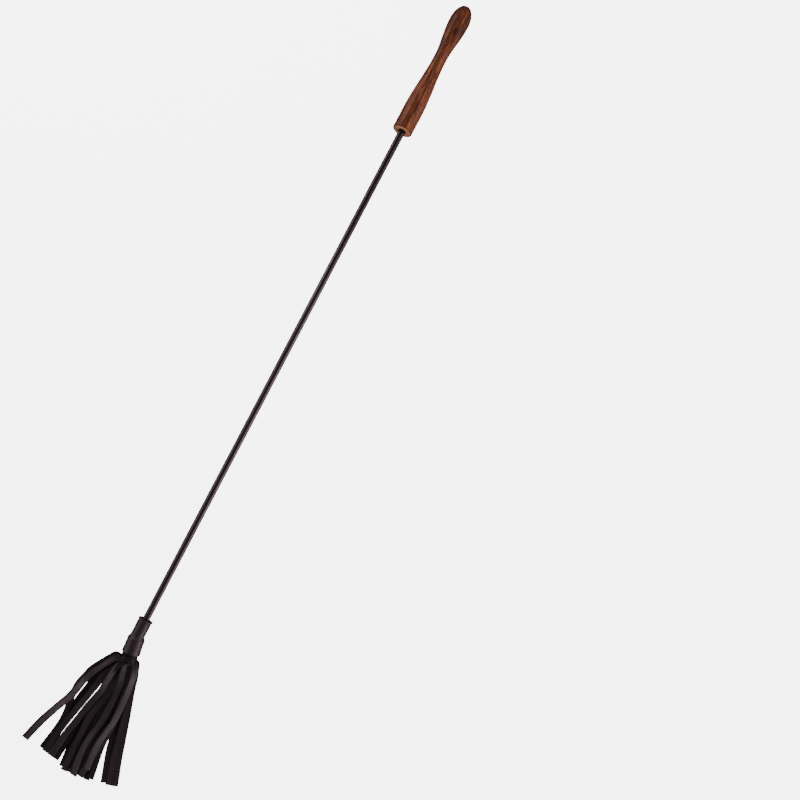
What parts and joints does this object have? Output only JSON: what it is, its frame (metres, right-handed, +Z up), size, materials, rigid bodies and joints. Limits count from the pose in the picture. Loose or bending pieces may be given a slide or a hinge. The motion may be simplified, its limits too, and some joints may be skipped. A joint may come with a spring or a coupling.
{
  "type": "fly swatter",
  "caption": "Whisk-type fly swatter: turned wooden handle, long thin black rod, stepped rubber ferrule and a tassel of leather strips.",
  "frame": {"origin": "on the table, under the middle of the whole swatter as it lies flat", "axes": "+X along the rod from the handle to the tassel, +Z up from the table, +Y across"},
  "size_m": [0.727, 0.0914, 0.0176],
  "materials": {
    "wood": "oiled reddish brown hardwood with dark streaks, satin gloss",
    "rod_plastic": "glossy black plastic skin with fine scratches",
    "glass_fibre": "raw glass fibre rod",
    "rubber": "matte charcoal moulded rubber",
    "thread": "waxed linen thread",
    "leather": "soft black-brown garment leather, fine grain outside, suede inside"
  },
  "bodies": {
    "body": {"handle": "wood", "rod_core": "glass_fibre", "rod_sleeve": "rod_plastic", "ferrule": "rubber", "binding_thread": "thread", "tassel_root": "leather"},
    "strip_top_1": {"strip_top_1": "leather"},
    "strip_top_2": {"strip_top_2": "leather"},
    "strip_top_3": {"strip_top_3": "leather"},
    "strip_top_4": {"strip_top_4": "leather"},
    "strip_top_5": {"strip_top_5": "leather"},
    "strip_top_6": {"strip_top_6": "leather"},
    "strip_upper_1": {"strip_upper_1": "leather"},
    "strip_upper_2": {"strip_upper_2": "leather"},
    "strip_upper_3": {"strip_upper_3": "leather"},
    "strip_upper_4": {"strip_upper_4": "leather"},
    "strip_upper_5": {"strip_upper_5": "leather"},
    "strip_upper_6": {"strip_upper_6": "leather"},
    "strip_lower_1": {"strip_lower_1": "leather"},
    "strip_lower_2": {"strip_lower_2": "leather"},
    "strip_lower_3": {"strip_lower_3": "leather"},
    "strip_lower_4": {"strip_lower_4": "leather"},
    "strip_lower_5": {"strip_lower_5": "leather"},
    "strip_lower_6": {"strip_lower_6": "leather"},
    "strip_bottom_1": {"strip_bottom_1": "leather"},
    "strip_bottom_2": {"strip_bottom_2": "leather"},
    "strip_bottom_3": {"strip_bottom_3": "leather"},
    "strip_bottom_4": {"strip_bottom_4": "leather"},
    "strip_bottom_5": {"strip_bottom_5": "leather"},
    "strip_bottom_6": {"strip_bottom_6": "leather"}
  },
  "joints": [
    {"name": "strip_top_1_lift", "type": "hinge", "parent": "body", "child": "strip_top_1", "pos_m": [0.25378, 0.00363, 0.0121], "axis": [0.108, -0.9942, 0], "range_deg": [0, 80]},
    {"name": "strip_top_2_lift", "type": "hinge", "parent": "body", "child": "strip_top_2", "pos_m": [0.25378, 0.00363, 0.0121], "axis": [0.108, -0.9942, 0], "range_deg": [0, 80]},
    {"name": "strip_top_3_lift", "type": "hinge", "parent": "body", "child": "strip_top_3", "pos_m": [0.25378, 0.00363, 0.0121], "axis": [0.108, -0.9942, 0], "range_deg": [0, 80]},
    {"name": "strip_top_4_lift", "type": "hinge", "parent": "body", "child": "strip_top_4", "pos_m": [0.25378, 0.00363, 0.0121], "axis": [0.108, -0.9942, 0], "range_deg": [0, 80]},
    {"name": "strip_top_5_lift", "type": "hinge", "parent": "body", "child": "strip_top_5", "pos_m": [0.25378, 0.00363, 0.0121], "axis": [0.108, -0.9942, 0], "range_deg": [0, 80]},
    {"name": "strip_top_6_lift", "type": "hinge", "parent": "body", "child": "strip_top_6", "pos_m": [0.25378, 0.00363, 0.0121], "axis": [0.108, -0.9942, 0], "range_deg": [0, 80]},
    {"name": "strip_upper_1_swing", "type": "hinge", "parent": "body", "child": "strip_upper_1", "pos_m": [0.24732, 0.00293, 0.0099], "axis": [0, 0, -1], "range_deg": [0, 38]},
    {"name": "strip_upper_2_swing", "type": "hinge", "parent": "body", "child": "strip_upper_2", "pos_m": [0.24732, 0.00293, 0.0099], "axis": [0, 0, -1], "range_deg": [0, 25.1]},
    {"name": "strip_upper_3_swing", "type": "hinge", "parent": "body", "child": "strip_upper_3", "pos_m": [0.24732, 0.00293, 0.0099], "axis": [0, 0, -1], "range_deg": [0, 12.56]},
    {"name": "strip_upper_4_swing", "type": "hinge", "parent": "body", "child": "strip_upper_4", "pos_m": [0.24732, 0.00293, 0.0099], "axis": [0, 0, 1], "range_deg": [0, 12.56]},
    {"name": "strip_upper_5_swing", "type": "hinge", "parent": "body", "child": "strip_upper_5", "pos_m": [0.24732, 0.00293, 0.0099], "axis": [0, 0, 1], "range_deg": [0, 25.1]},
    {"name": "strip_upper_6_swing", "type": "hinge", "parent": "body", "child": "strip_upper_6", "pos_m": [0.24732, 0.00293, 0.0099], "axis": [0, 0, 1], "range_deg": [0, 38]},
    {"name": "strip_lower_1_swing", "type": "hinge", "parent": "body", "child": "strip_lower_1", "pos_m": [0.24732, 0.00293, 0.0077], "axis": [0, 0, -1], "range_deg": [0, 38]},
    {"name": "strip_lower_2_swing", "type": "hinge", "parent": "body", "child": "strip_lower_2", "pos_m": [0.24732, 0.00293, 0.0077], "axis": [0, 0, -1], "range_deg": [0, 25.1]},
    {"name": "strip_lower_3_swing", "type": "hinge", "parent": "body", "child": "strip_lower_3", "pos_m": [0.24732, 0.00293, 0.0077], "axis": [0, 0, -1], "range_deg": [0, 12.56]},
    {"name": "strip_lower_4_swing", "type": "hinge", "parent": "body", "child": "strip_lower_4", "pos_m": [0.24732, 0.00293, 0.0077], "axis": [0, 0, 1], "range_deg": [0, 12.56]},
    {"name": "strip_lower_5_swing", "type": "hinge", "parent": "body", "child": "strip_lower_5", "pos_m": [0.24732, 0.00293, 0.0077], "axis": [0, 0, 1], "range_deg": [0, 25.1]},
    {"name": "strip_lower_6_swing", "type": "hinge", "parent": "body", "child": "strip_lower_6", "pos_m": [0.24732, 0.00293, 0.0077], "axis": [0, 0, 1], "range_deg": [0, 38]},
    {"name": "strip_bottom_1_drop", "type": "hinge", "parent": "body", "child": "strip_bottom_1", "pos_m": [0.25378, 0.00363, 0.0055], "axis": [-0.108, 0.9942, 0], "range_deg": [0, 70]},
    {"name": "strip_bottom_2_drop", "type": "hinge", "parent": "body", "child": "strip_bottom_2", "pos_m": [0.25378, 0.00363, 0.0055], "axis": [-0.108, 0.9942, 0], "range_deg": [0, 70]},
    {"name": "strip_bottom_3_drop", "type": "hinge", "parent": "body", "child": "strip_bottom_3", "pos_m": [0.25378, 0.00363, 0.0055], "axis": [-0.108, 0.9942, 0], "range_deg": [0, 70]},
    {"name": "strip_bottom_4_drop", "type": "hinge", "parent": "body", "child": "strip_bottom_4", "pos_m": [0.25378, 0.00363, 0.0055], "axis": [-0.108, 0.9942, 0], "range_deg": [0, 70]},
    {"name": "strip_bottom_5_drop", "type": "hinge", "parent": "body", "child": "strip_bottom_5", "pos_m": [0.25378, 0.00363, 0.0055], "axis": [-0.108, 0.9942, 0], "range_deg": [0, 70]},
    {"name": "strip_bottom_6_drop", "type": "hinge", "parent": "body", "child": "strip_bottom_6", "pos_m": [0.25378, 0.00363, 0.0055], "axis": [-0.108, 0.9942, 0], "range_deg": [0, 70]}
  ],
  "couplings": [
    {"joint": "strip_upper_2_swing", "follows": "strip_upper_1_swing", "ratio": 0.66},
    {"joint": "strip_upper_3_swing", "follows": "strip_upper_1_swing", "ratio": 0.33},
    {"joint": "strip_upper_4_swing", "follows": "strip_upper_6_swing", "ratio": 0.33},
    {"joint": "strip_upper_5_swing", "follows": "strip_upper_6_swing", "ratio": 0.66},
    {"joint": "strip_lower_2_swing", "follows": "strip_lower_1_swing", "ratio": 0.66},
    {"joint": "strip_lower_3_swing", "follows": "strip_lower_1_swing", "ratio": 0.33},
    {"joint": "strip_lower_4_swing", "follows": "strip_lower_6_swing", "ratio": 0.33},
    {"joint": "strip_lower_5_swing", "follows": "strip_lower_6_swing", "ratio": 0.66}
  ]
}
